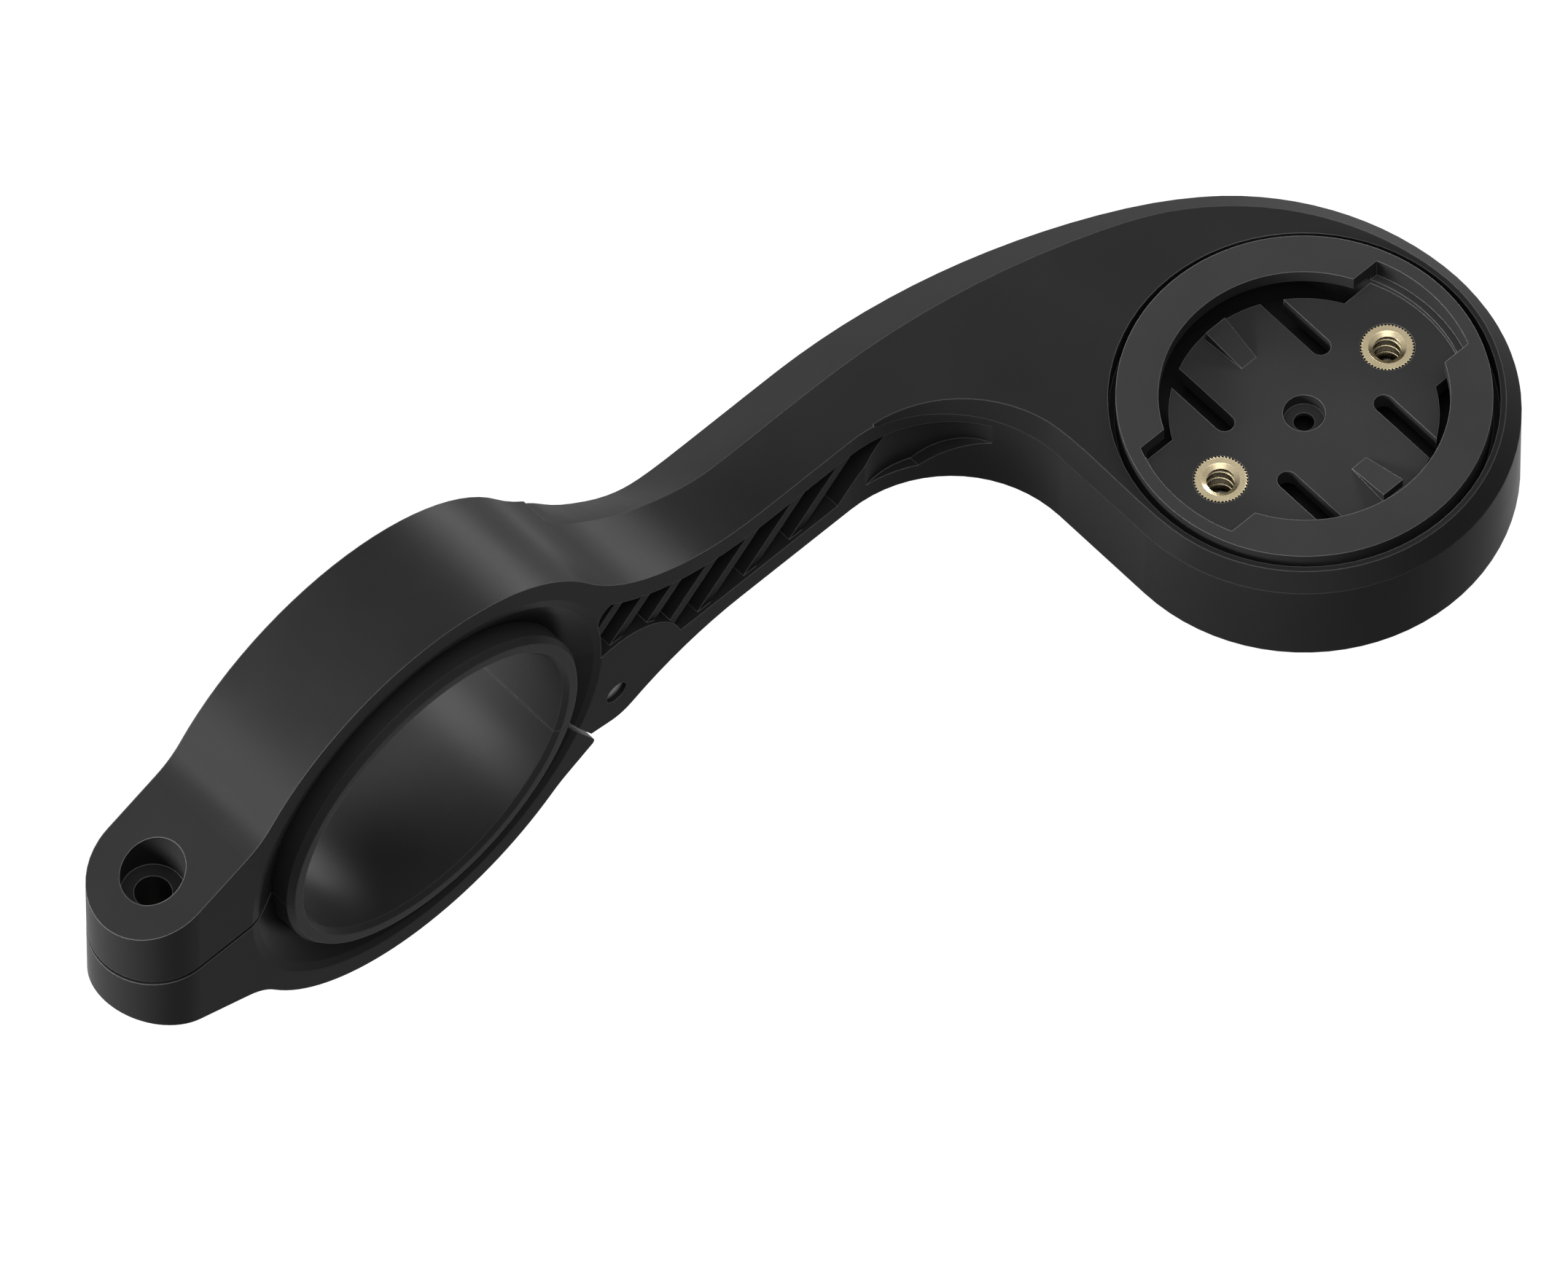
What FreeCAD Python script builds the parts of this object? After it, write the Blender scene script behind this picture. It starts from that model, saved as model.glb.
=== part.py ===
import FreeCAD, Part
import math
import os

import Sketcher
from FreeCAD import Vector

# Bike computer mount: an arm that clamps to a handlebar and carries a quarter-turn socket.
# Frame: the origin is the centre of the handlebar bore, +X runs forward from the clamp to the
# head, +Y is to the left and +Z is up. All sizes are in millimetres.

# Driving dimensions: name, value and what it is
SIZES = [
    ("bar_radius", 15.9, "handlebar of 31.8 mm"),
    ("liner_wall", 1.1, "liner sleeve"),
    ("liner_clearance", 0.05, "liner in its seat"),
    ("lip_radius", 17.8, "liner lip, outside"),
    ("lip_thickness", 2.75, "liner lip, along the bar"),
    ("lip_slant", 0.45, "how far the lip's outer edge slants in"),
    ("lip_slant_length", 0.65, "that slant along the bar"),
    ("liner_gap", 0.1, "between the two liner halves"),
    ("clamp_radius", 23.7, "outside of the clamp ring"),
    ("clamp_half_width", 6.1, "centre plane to the clamp's side"),
    ("liner_reach", 7.25, "centre plane to the liner's face"),
    ("hollow_radius", 21.5, "outside of the hollow round the liner's lip"),
    ("hollow_depth", 1.5, "that hollow beside the lip, below the side"),
    ("parting_gap", 0.55, "between the clamp halves at the screw"),
    ("boss_reach", 28.0, "bore centre to the clamp screw"),
    ("boss_end_height", 6.5, "boss top at its free end"),
    ("boss_angle", 23.5, "boss top, degrees"),
    ("boss_blend_radius", 7.5, "boss top into the clamp ring"),
    ("screw_hole_radius", 1.73, "clearance for the M3 clamp screw"),
    ("screw_head_radius", 3.0, "counterbore for its head"),
    ("screw_head_floor", 5.5, "height of the counterbore's floor"),
    ("pin_forward", 23.2, "bore centre to the hinge pin"),
    ("pin_drop", 9.6, "hinge pin below the bore centre"),
    ("pin_radius", 1.15, "hinge pin"),
    ("pin_clearance", 0.05, "hinge pin in its holes"),
    ("pin_recess", 0.4, "pin end below the ear's face"),
    ("ear_radius", 4.17, "ear round the hinge pin"),
    ("knuckle_radius", 3.4, "strap knuckle round the hinge pin"),
    ("knuckle_half_width", 3.0, "centre plane to the knuckle's side"),
    ("knuckle_gap", 0.3, "round the knuckle in its slot"),
    ("hinge_gap", 0.35, "between the clamp halves at the hinge"),
    ("tip_forward", 17.6, "end of the upper clamp half beside the liner"),
    ("tip_drop", 5.9, "liner's parting at the hinge, below the bore centre"),
    ("tip_gap", 0.15, "between the clamp halves beside the liner"),
    ("face_distance", 4.56, "hinge pin to the upper half's end face"),
    ("face_angle", 59.6, "that face, degrees below level"),
    ("face_start", 2.8, "that face above the foot of the pin's normal"),
    ("face_end", 1.6, "that face below the foot of the pin's normal"),
    ("strap_step", 1.76, "outer corner of the strap's end, outside the clamp ring"),
    ("strap_corner_radius", 0.5, "rounding of that corner"),
    ("flare_angle", 29.0, "strap's outside at that corner, degrees"),
    ("swing_angle", 80.0, "how far the strap opens, degrees"),
    ("neck_overlap", 1.1, "knuckle's neck inside the strap"),
    ("plate_top", 1.75, "top face of the arm and head"),
    ("plate_bottom", 10.0, "bottom face, below the bore centre"),
    ("neck_top_radius", 25.5, "hollow from the clamp to the arm, above"),
    ("neck_bottom_radius", 29.0, "hollow from the ear to the arm, below"),
    ("head_forward", 85.4, "bore centre to the head's centre"),
    ("head_side", 30.8, "centre plane to the head's centre"),
    ("head_radius", 19.75, "outside of the head"),
    ("head_chamfer", 1.4, "width of the head's top chamfer"),
    ("head_chamfer_drop", 1.6, "height of the head's top chamfer"),
    ("elbow_radius", 13.4, "inside of the elbow"),
    ("shoulder_forward", 54.0, "where the left side starts to curve"),
    ("shoulder_radius", 65.0, "left side, long curve"),
    ("shoulder_blend_radius", 26.7, "left side, curve into the head"),
    ("bevel_width", 5.7, "left bevel of the straight arm"),
    ("bevel_drop", 4.65, "height of that bevel"),
    ("bevel_start", 20.0, "where the left bevel starts on the clamp"),
    ("bevel_wide", 40.0, "where it has its full width"),
    ("bevel_deep", 37.0, "where it has its full height"),
    ("bevel_straight", 45.0, "where it runs straight"),
    ("crease_radius", 87.0, "left bevel's top edge, long curve"),
    ("crease_blend_radius", 28.0, "left bevel's top edge, curve into the head"),
    ("socket_radius", 17.13, "socket, outside"),
    ("socket_top", 2.39, "top face of the socket"),
    ("socket_clearance", 0.05, "socket in its seat"),
    ("groove_radius", 17.83, "outside of the groove round the socket"),
    ("groove_drop", 3.0, "depth of the groove below the head's top"),
    ("seat_drop", 5.4, "housing floor below the bore centre"),
    ("mouth_radius", 13.26, "socket mouth between the lips"),
    ("lip_underside", 0.8, "height of the lips' underside"),
    ("undercut_radius", 15.2, "space behind the lips"),
    ("socket_floor", 0.6, "socket floor below the bore centre"),
    ("floor_radius", 12.3, "edge of the sprung floor"),
    ("floor_thickness", 2.0, "sprung floor"),
    ("notch_radius", 15.9, "outside of the two entry notches"),
    ("notch_half_width", 6.05, "centre line to a notch's side"),
    ("slot_offset", 6.0, "centre line to a floor slot"),
    ("slot_width", 1.9, "floor slot"),
    ("slot_start", 3.25, "centre line to a slot's round end"),
    ("detent_start", 7.3, "centre to the low end of a detent"),
    ("detent_end", 11.8, "centre to the high end of a detent"),
    ("detent_height", 1.2, "high end of a detent"),
    ("detent_width", 2.4, "high end of a detent"),
    ("detent_foot_width", 1.8, "low end of a detent"),
    ("detent_foot_height", 0.06, "low end of a detent"),
    ("hub_radius", 1.94, "hole in the middle of the socket"),
    ("hub_depth", 1.5, "that hole, down to its ledge"),
    ("pivot_radius", 0.97, "smaller hole below the ledge"),
    ("insert_spread", 10.38, "centre to a threaded insert"),
    ("insert_radius", 2.49, "threaded insert, outside"),
    ("insert_clearance", 0.02, "insert in its hole"),
    ("insert_bore", 1.25, "M3 core hole"),
    ("insert_mouth", 1.74, "countersunk mouth of an insert"),
    ("insert_boss_radius", 4.0, "boss round an insert, below the floor"),
    ("thread_clearance", 0.05, "screw shank, drawn as its core, in the core hole"),
    ("screw_reach", 3.2, "screw in the insert"),
    ("pan_radius", 2.75, "screw head"),
    ("pan_height", 1.9, "screw head"),
    ("pan_clearance", 0.2, "round the screw head"),
    ("key_radius", 1.15, "hexagon in the screw head, to its corners"),
    ("key_depth", 1.1, "hexagon in the screw head"),
    ("strap_insert_drop", 3.4, "top of the clamp screw's insert"),
    ("strap_face_end", 2.2, "strap's end face below the foot of the pin's normal"),
    ("strap_flare_radius", 12.0, "strap's flare into the clamp ring"),
    ("liner_chamfer", 0.45, "mouth of the bar bore"),
    ("rib_pitch", 5.67, "between ribs, along the arm"),
    ("rib_width", 1.1, "thickness of a rib"),
    ("rib_count", 8.0, "ribs in the side recess"),
    ("rib_inset", 0.4, "rib face below the side"),
    ("rib_start", 18.5, "first rib's edge, at the bore's height"),
    ("recess_depth", 2.6, "side recess"),
    ("flange", 2.4, "wall above and below the side recess"),
    ("recess_start_radius", 21.4, "near end of the side recess"),
    ("recess_corner_angle", 11.0, "that end's upper corner, degrees above the bore's height"),
    ("recess_corner_reach", 1.6, "rounding of that corner, along the arm"),
    ("recess_corner_bend", 0.7075, "radius of that rounding, as a share of its chord"),
    ("ear_plate_radius", 8.2, "raised plate round the hinge pin"),
    ("scoop_depth", 1.0, "scoop that ends the side recess"),
    ("scoop_angle", 57.0, "its deepest line, degrees round the elbow"),
    ("scoop_half_angle", 26.0, "from there to either end, degrees"),
    ("scoop_toe", 6.7, "where its foot leaves the lower wall, from the elbow's axis"),
    ("scoop_step", 8.3, "end of the foot's steep part, from the elbow's axis"),
    ("scoop_rise", 1.5, "height of that steep part"),
    ("scoop_tip", 1.3, "height of the scoop's far end"),
]

doc = FreeCAD.newDocument("bike_computer_mount")


# Sheet of driving dimensions

def make_sheet():
    sheet = doc.addObject("Spreadsheet::Sheet", "sizes")
    for row, (alias, value, meaning) in enumerate(SIZES, start=1):
        sheet.set("A%d" % row, meaning)
        sheet.set("B%d" % row, str(value))
        sheet.setAlias("B%d" % row, alias)
    doc.recompute()
    return sheet


sheet = make_sheet()


def size(alias):
    return float(sheet.get(alias))


def circle_meeting(centre_a, radius_a, centre_b, radius_b, side):
    """Where two circles meet; side is 1 for the point left of the line from a to b."""
    across = centre_b - centre_a
    span = across.Length
    along = (radius_a ** 2 - radius_b ** 2 + span ** 2) / (2 * span)
    off = math.sqrt(radius_a ** 2 - along ** 2)
    forward = across / span
    left = Vector(-forward.y, forward.x, 0)
    return centre_a + forward * along + left * (side * off)


def on_circle(centre, radius, degrees):
    angle = math.radians(degrees)
    return centre + Vector(radius * math.cos(angle), radius * math.sin(angle), 0)


def between(first, last, share):
    return first + (last - first) * share


def azimuth(centre, point):
    return math.degrees(math.atan2(point.y - centre.y, point.x - centre.x))


class Outline:
    """A closed outline of straight runs and arcs, in the x and y of its own plane."""

    def __init__(self, start):
        self.start = start
        self.end = start
        self.curves = []

    def line(self, point):
        self.curves.append(Part.LineSegment(self.end, point))
        self.end = point
        return self

    def arc(self, point, centre, turn):
        """Arc about centre to point: turn is 1 when it runs anticlockwise, else -1."""
        first = azimuth(centre, self.end)
        sweep = turn * ((turn * (azimuth(centre, point) - first)) % 360)
        middle = on_circle(centre, (self.end - centre).Length, first + sweep / 2)
        self.curves.append(Part.Arc(self.end, middle, point))
        self.end = point
        return self

    def corner(self, point, after, radius):
        """Runs to a corner and round it, ready to go on to the point after."""
        back = (self.end - point).normalize()
        ahead = (after - point).normalize()
        half = back.getAngle(ahead) / 2
        reach = radius / math.tan(half)
        centre = point + (back + ahead).normalize() * (radius / math.sin(half))
        self.line(point + back * reach)
        return self.arc(point + ahead * reach, centre, 1 if ahead.cross(back).z > 0 else -1)

    def close(self):
        if (self.end - self.start).Length > 1e-6:
            self.line(self.start)
        return self

    def face(self):
        return Part.Face(Part.Wire([curve.toShape() for curve in self.curves]))


# Places that several pieces share, each worked out from the driving dimensions

BORE = Vector(0, 0, 0)
PIN = Vector(size("pin_forward"), -size("pin_drop"), 0)
HEAD = Vector(size("head_forward"), -size("head_side"), 0)
SEAT_RADIUS = size("bar_radius") + size("liner_wall") + size("liner_clearance")
BOSS_TIP = size("boss_reach") + size("clamp_half_width")


def mirrored(point):
    return Vector(point.x, -point.y, 0)


def blend_to_clamp(start, degrees, radius, side):
    """Arc from a straight run into the clamp's outside: its two ends and its centre."""
    run = Vector(math.cos(math.radians(degrees)), math.sin(math.radians(degrees)), 0)
    normal = Vector(-run.y, run.x, 0) * side
    offset = start + normal * radius
    reach = size("clamp_radius") + radius
    along = -offset.dot(run) - math.sqrt(offset.dot(run) ** 2 - offset.dot(offset) + reach ** 2)
    centre = offset + run * along
    return start + run * along, centre * (size("clamp_radius") / reach), centre


def boss_blend():
    """Top of the screw boss, in the side view, into the clamp ring."""
    start = Vector(-BOSS_TIP, size("boss_end_height"), 0)
    return blend_to_clamp(start, size("boss_angle"), size("boss_blend_radius"), 1)


def neck_top_centre():
    height = size("plate_top") + size("neck_top_radius")
    reach = size("clamp_radius") + size("neck_top_radius")
    return Vector(math.sqrt(reach ** 2 - height ** 2), height, 0)


def neck_bottom_centre():
    drop = size("plate_bottom") + size("neck_bottom_radius")
    reach = size("ear_radius") + size("neck_bottom_radius")
    return Vector(PIN.x + math.sqrt(reach ** 2 - (drop - size("pin_drop")) ** 2), -drop, 0)


def end_face(distance, along):
    """A point of the clamp halves' parting beside the hinge, in the side view."""
    slope = math.radians(size("face_angle"))
    normal = Vector(-math.sin(slope), -math.cos(slope), 0)
    down = Vector(math.cos(slope), -math.sin(slope), 0)
    return PIN + normal * distance + down * along


# Feature helpers

def new_body(name):
    return doc.addObject("PartDesign::Body", name)


def new_sketch(body, name, role, height=None):
    """A sketch on one of the body's own origin planes, raised by an expression if given."""
    plane = [f for f in body.Origin.OriginFeatures if f.Role == role][0]
    sketch = body.newObject("Sketcher::SketchObject", name)
    sketch.AttachmentSupport = [(plane, "")]
    sketch.MapMode = "FlatFace"
    if height:
        sketch.setExpression("AttachmentOffset.Base.z", height)
    return sketch


def draw(sketch, outline):
    """Adds a closed outline and joins the end of each piece to the start of the next."""
    first = sketch.GeometryCount
    sketch.addGeometry(outline.curves, False)
    count = len(outline.curves)
    for step in range(count):
        here = first + step
        after = first + (step + 1) % count
        ends = [(a, b) for a in (1, 2) for b in (1, 2)]
        gap = {pair: (sketch.getPoint(here, pair[0]) - sketch.getPoint(after, pair[1])).Length
               for pair in ends}
        a, b = min(gap, key=gap.get)
        sketch.addConstraint(Sketcher.Constraint("Coincident", here, a, after, b))


def draw_circle(sketch, radius, x=None, y=None):
    """Adds a circle whose radius and centre are expressions."""
    centre = Vector(0.5 if x else 0, 0.5 if y else 0, 0)
    circle = sketch.addGeometry(Part.Circle(centre, Vector(0, 0, 1), 1.0), False)
    bound = [("Radius", (circle, 1.0), radius)]
    bound.append(("DistanceX", (-1, 1, circle, 3, centre.x), x or "0"))
    bound.append(("DistanceY", (-1, 1, circle, 3, centre.y), y or "0"))
    for kind, arguments, expression in bound:
        index = sketch.addConstraint(Sketcher.Constraint(kind, *arguments))
        sketch.setExpression("Constraints[%d]" % index, expression)


def extrude(body, kind, sketch, length, side="One side", backwards=False):
    """A Pad or Pocket whose length is an expression."""
    feature = body.newObject("PartDesign::" + kind, sketch.Name + "_" + kind.lower())
    feature.Profile = sketch
    feature.setExpression("Length", length)
    feature.SideType = side
    feature.Reversed = backwards
    return feature


def turn(body, kind, sketch, axis):
    """A Revolution or Groove of one full turn about an axis of its sketch."""
    feature = body.newObject("PartDesign::" + kind, sketch.Name + "_" + kind.lower())
    feature.Profile = sketch
    feature.ReferenceAxis = (sketch, [axis])
    feature.Angle = 360
    return feature


def upright(face, low, high):
    """A face drawn in plan, raised from height low to height high."""
    return face.translated(Vector(0, 0, low)).extrude(Vector(0, 0, high - low))


def crosswise(face, right, left):
    """A face drawn in the side view, run across the arm from y = right to y = left."""
    turned = face.rotated(BORE, Vector(1, 0, 0), 90)
    return turned.translated(Vector(0, right, 0)).extrude(Vector(0, left - right, 0))


# Clamp: what both halves share

HOLLOW_STEPS = [(0.0, 0.0), (0.25, 0.13), (0.5, 0.4), (1.0, 1.0)]


def hollow_outline(side):
    """Hollow round the liner's lip, x from the bar's axis; side is 1 on the left, -1 on the right."""
    inner = size("lip_radius") + size("liner_clearance")
    beyond = side * (size("liner_reach") + 1)
    outline = Outline(Vector(BORE.x, beyond, 0))
    outline.line(Vector(size("hollow_radius"), beyond, 0))
    for inward, down in HOLLOW_STEPS:
        outline.line(Vector(between(size("hollow_radius"), inner, inward),
                            side * (size("clamp_half_width") - size("hollow_depth") * down), 0))
    outline.line(Vector(BORE.x, side * (size("clamp_half_width") - size("hollow_depth")), 0))
    return outline.close()


def seat_outline():
    """Space for a liner: its sleeve and its two lips."""
    lip = size("lip_radius") + size("liner_clearance")
    ledge = size("liner_reach") - size("lip_thickness")
    beyond = size("liner_reach") + 1
    outline = Outline(Vector(0, -beyond, 0))
    outline.line(Vector(lip, -beyond, 0))
    outline.line(Vector(lip, -ledge, 0))
    outline.line(Vector(SEAT_RADIUS, -ledge, 0))
    outline.line(Vector(SEAT_RADIUS, ledge, 0))
    outline.line(Vector(lip, ledge, 0))
    outline.line(Vector(lip, beyond, 0))
    outline.line(Vector(0, beyond, 0))
    return outline.close()


def add_hollows_and_seat(body):
    """Hollow shoulders on both sides of a clamp half, and the liner's seat."""
    hollows = new_sketch(body, body.Name + "_hollows", "XY_Plane")
    for side in (1, -1):
        draw(hollows, hollow_outline(side))
    turn(body, "Groove", hollows, "V_Axis")
    seat = new_sketch(body, body.Name + "_seat", "XY_Plane")
    draw(seat, seat_outline())
    turn(body, "Groove", seat, "V_Axis")


def add_pin_hole(body):
    hole = new_sketch(body, body.Name + "_pin_hole", "XZ_Plane")
    draw_circle(hole, "sizes.pin_radius + sizes.pin_clearance", "sizes.pin_forward",
                "-sizes.pin_drop")
    extrude(body, "Pocket", hole, "4 * sizes.clamp_half_width", "Symmetric")


# Arm: upper clamp half, arm and head housing

def upper_parting():
    """Parting beside the hinge, from the bore outwards."""
    return [
        Vector(math.sqrt(SEAT_RADIUS ** 2 - size("tip_drop") ** 2), -size("tip_drop"), 0),
        Vector(size("tip_forward"), -size("tip_drop"), 0),
        end_face(size("face_distance"), -size("face_start")),
        end_face(size("face_distance"), size("face_end")),
    ]


def arm_side():
    """Side view of the arm: clamp half, hollow neck and level plate, x forward and y up."""
    beyond = HEAD.x + size("head_radius") + 5
    top, bottom = size("plate_top"), -size("plate_bottom")
    parting = upper_parting()
    outline = Outline(Vector(-BOSS_TIP, 0, 0))
    outline.line(Vector(-SEAT_RADIUS, 0, 0))
    outline.arc(parting[0], BORE, -1)
    for point in parting[1:]:
        outline.line(point)
    corner = parting[-1]
    lean = math.degrees(math.acos(size("ear_radius") / (corner - PIN).Length))
    outline.line(on_circle(PIN, size("ear_radius"), azimuth(PIN, corner) + lean))
    neck = neck_bottom_centre()
    outline.arc(on_circle(PIN, size("ear_radius"), azimuth(PIN, neck)), PIN, 1)
    outline.arc(Vector(neck.x, bottom, 0), neck, -1)
    outline.line(Vector(beyond, bottom, 0))
    outline.line(Vector(beyond, top, 0))
    neck = neck_top_centre()
    outline.line(Vector(neck.x, top, 0))
    outline.arc(on_circle(BORE, size("clamp_radius"), azimuth(BORE, neck)), neck, -1)
    on_boss, on_ring, centre = boss_blend()
    outline.arc(on_ring, BORE, 1)
    outline.arc(on_boss, centre, -1)
    outline.line(Vector(-BOSS_TIP, size("boss_end_height"), 0))
    return outline.close()


def shoulder_centre():
    return Vector(size("shoulder_forward"), size("clamp_half_width") - size("shoulder_radius"), 0)


def shoulder_blend_centre():
    return circle_meeting(HEAD, size("shoulder_blend_radius") - size("head_radius"),
                          shoulder_centre(),
                          size("shoulder_radius") - size("shoulder_blend_radius"), -1)


def elbow_centre():
    return Vector(HEAD.x - size("head_radius") - size("elbow_radius"),
                  -size("clamp_half_width") - size("elbow_radius"), 0)


def arm_plan():
    """Plan of the arm: round boss, straight arm, elbow on the right and round head."""
    side = size("clamp_half_width")
    boss = Vector(-size("boss_reach"), 0, 0)
    elbow = elbow_centre()
    blend = shoulder_blend_centre()
    shoulder = shoulder_centre()
    outline = Outline(boss + Vector(0, side, 0))
    outline.arc(boss - Vector(0, side, 0), boss, 1)
    outline.line(Vector(elbow.x, -side, 0))
    outline.arc(elbow + Vector(size("elbow_radius"), 0, 0), elbow, -1)
    outline.line(HEAD - Vector(size("head_radius"), 0, 0))
    outline.arc(on_circle(HEAD, size("head_radius"), azimuth(blend, HEAD)), HEAD, 1)
    outline.arc(on_circle(shoulder, size("shoulder_radius"), azimuth(shoulder, blend)), blend, 1)
    outline.arc(Vector(shoulder.x, side, 0), shoulder, 1)
    return outline.close()


def frame_outline():
    """A rectangle well outside the plan of the whole mount."""
    margin = size("head_radius")
    low = Vector(-BOSS_TIP - margin, HEAD.y - 2 * margin, 0)
    high = Vector(HEAD.x + 2 * margin, -low.y, 0)
    outline = Outline(low)
    outline.line(Vector(high.x, low.y, 0))
    outline.line(high)
    outline.line(Vector(low.x, high.y, 0))
    return outline.close()


NECK_TOP_ANGLE = 150
NECK_LOW_ANGLE = 250


def knuckle_slot():
    """Slot between the ears, open below as far as the opening strap's neck travels."""
    radius = size("knuckle_radius") + size("knuckle_gap")
    reach = 3 * size("knuckle_radius")
    last = NECK_LOW_ANGLE + size("swing_angle") + 5
    outline = Outline(on_circle(PIN, radius, NECK_TOP_ANGLE))
    outline.arc(on_circle(PIN, radius, last), PIN, -1)
    corner = on_circle(PIN, reach, last)
    outline.line(corner)
    outline.line(Vector(corner.x, PIN.y - reach, 0))
    outline.line(Vector(BORE.x + size("bar_radius"), PIN.y - reach, 0))
    outline.line(Vector(BORE.x + size("bar_radius"), PIN.y + size("knuckle_gap"), 0))
    return outline.close()


def arm_body():
    body = new_body("arm_body")
    side = new_sketch(body, "arm_side", "XZ_Plane")
    draw(side, arm_side())
    extrude(body, "Pad", side, "2 * (sizes.head_side + sizes.head_radius + 5)", "Symmetric")
    plan = new_sketch(body, "arm_plan", "XY_Plane")
    draw(plan, frame_outline())
    draw(plan, arm_plan())
    extrude(body, "Pocket", plan, "4 * sizes.clamp_radius", "Symmetric")
    add_hollows_and_seat(body)
    slot = new_sketch(body, "knuckle_slot", "XZ_Plane")
    draw(slot, knuckle_slot())
    extrude(body, "Pocket", slot, "2 * (sizes.knuckle_half_width + sizes.knuckle_gap)",
            "Symmetric")
    add_pin_hole(body)
    screw = new_sketch(body, "clamp_screw_hole", "XY_Plane")
    draw_circle(screw, "sizes.screw_hole_radius", "-sizes.boss_reach")
    extrude(body, "Pocket", screw, "2 * sizes.clamp_radius", "Symmetric")
    head = new_sketch(body, "clamp_screw_head", "XY_Plane", "sizes.screw_head_floor")
    draw_circle(head, "sizes.screw_head_radius", "-sizes.boss_reach")
    extrude(body, "Pocket", head, "sizes.clamp_radius", backwards=True)
    groove = new_sketch(body, "socket_groove", "XY_Plane", "sizes.plate_top")
    draw_circle(groove, "sizes.groove_radius", "sizes.head_forward", "-sizes.head_side")
    extrude(body, "Pocket", groove, "sizes.groove_drop")
    seat = new_sketch(body, "socket_seat", "XY_Plane", "sizes.plate_top")
    draw_circle(seat, "sizes.socket_radius + sizes.socket_clearance", "sizes.head_forward",
                "-sizes.head_side")
    extrude(body, "Pocket", seat, "sizes.plate_top + sizes.seat_drop")
    for name, radius, depth in [("shank", "sizes.screw_hole_radius", "sizes.plate_bottom"),
                                ("pan", "sizes.pan_radius + sizes.pan_clearance",
                                 "sizes.pan_height + sizes.pan_clearance")]:
        hole = new_sketch(body, "socket_screw_" + name, "XY_Plane", "-sizes.plate_bottom")
        for spread in ("+ sizes.insert_spread", "- sizes.insert_spread"):
            draw_circle(hole, radius, "sizes.head_forward " + spread, "-sizes.head_side")
        extrude(body, "Pocket", hole, depth, backwards=True)
    return body


# Bevel of the arm: a wedge that follows the arm's edge all the way round the head

def top_height(x):
    """Height of the arm's top face, which rises along the neck towards the clamp."""
    neck = neck_top_centre()
    if x >= neck.x:
        return size("plate_top")
    return neck.y - math.sqrt(size("neck_top_radius") ** 2 - (neck.x - x) ** 2)


def crease_centre():
    return Vector(size("shoulder_forward"),
                  size("clamp_half_width") - size("bevel_width") - size("crease_radius"), 0)


def crease_blend_centre():
    return circle_meeting(HEAD, size("crease_blend_radius") - inner_head_radius(),
                          crease_centre(),
                          size("crease_radius") - size("crease_blend_radius"), -1)


def inner_head_radius():
    return size("head_radius") - size("head_chamfer")


def crease_point(origin, direction):
    """Where a level ray meets the bevel's top edge: long curve, blend or head."""
    edge = [
        (crease_centre(), size("crease_radius"), azimuth(crease_centre(), crease_blend_centre())),
        (crease_blend_centre(), size("crease_blend_radius"),
         azimuth(crease_blend_centre(), HEAD)),
        (HEAD, inner_head_radius(), -180),
    ]
    for centre, radius, last in edge:
        away = origin - centre
        along = away.dot(direction)
        reach = math.sqrt(along ** 2 - away.dot(away) + radius ** 2) - along
        point = origin + direction * reach
        if azimuth(centre, point) >= last:
            return point


BEVEL_WIDTH_POWER = 0.35


def bevel_stations():
    """Pairs of points, on the bevel's top edge and on its lower edge, from clamp to elbow."""
    side = size("clamp_half_width")
    start = size("bevel_start")
    top = Vector(0, 0, size("plate_top"))
    slope = size("bevel_drop") / size("bevel_width")
    head_slope = size("head_chamfer_drop") / size("head_chamfer")
    pairs = []

    # Along the clamp's neck the bevel grows from nearly nothing, first in width, then in height
    for step in range(1, 9):
        x = between(start, size("bevel_straight"), step / 8)
        widened = min(1, (x - start) / (size("bevel_wide") - start))
        deepened = min(1, (x - start) / (size("bevel_deep") - start))
        width = size("bevel_width") * widened ** BEVEL_WIDTH_POWER
        drop = size("bevel_drop") * deepened ** 2 * (3 - 2 * deepened)
        pairs.append((Vector(x, side - width, top_height(x)),
                      Vector(x, side, top_height(x) - drop)))

    # Round the shoulder, the blend and the head, each section is square to the side
    shoulder, blend = shoulder_centre(), shoulder_blend_centre()
    shoulder_end = azimuth(shoulder, blend)
    blend_end = azimuth(blend, HEAD)
    arcs = [
        (8, shoulder, size("shoulder_radius"), 90, shoulder_end, slope, slope),
        (7, blend, size("shoulder_blend_radius"), shoulder_end, blend_end, slope, head_slope),
    ]
    for steps, centre, radius, first, last, steep_first, steep_last in arcs:
        for step in range(1, steps + 1):
            share = step / steps
            low = on_circle(centre, radius, between(first, last, share))
            high = crease_point(centre, (low - centre) / radius)
            drop = (low - high).Length * between(steep_first, steep_last, share)
            pairs.append((high + top, low + top - Vector(0, 0, drop)))
    fall = Vector(0, 0, size("head_chamfer_drop"))
    for step in range(1, 13):
        degrees = between(blend_end, -180, step / 12)
        pairs.append((on_circle(HEAD, inner_head_radius(), degrees) + top,
                      on_circle(HEAD, size("head_radius"), degrees) + top - fall))

    # Straight up to the elbow, and round it until the chamfer fades out
    elbow = elbow_centre()
    inward = Vector(size("head_chamfer"), 0, 0)
    for share in (0.5, 1):
        low = Vector(HEAD.x - size("head_radius"), between(HEAD.y, elbow.y, share), 0)
        pairs.append((low + inward + top, low + top - fall))
    for step in range(1, 8):
        degrees = 90 * step / 8
        share = math.cos(math.radians(degrees))
        outward = on_circle(BORE, 1, degrees)
        low = elbow + outward * size("elbow_radius")
        high = low + outward * (size("head_chamfer") * share)
        pairs.append((high + top, low + top - fall * share))
    return pairs


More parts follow.
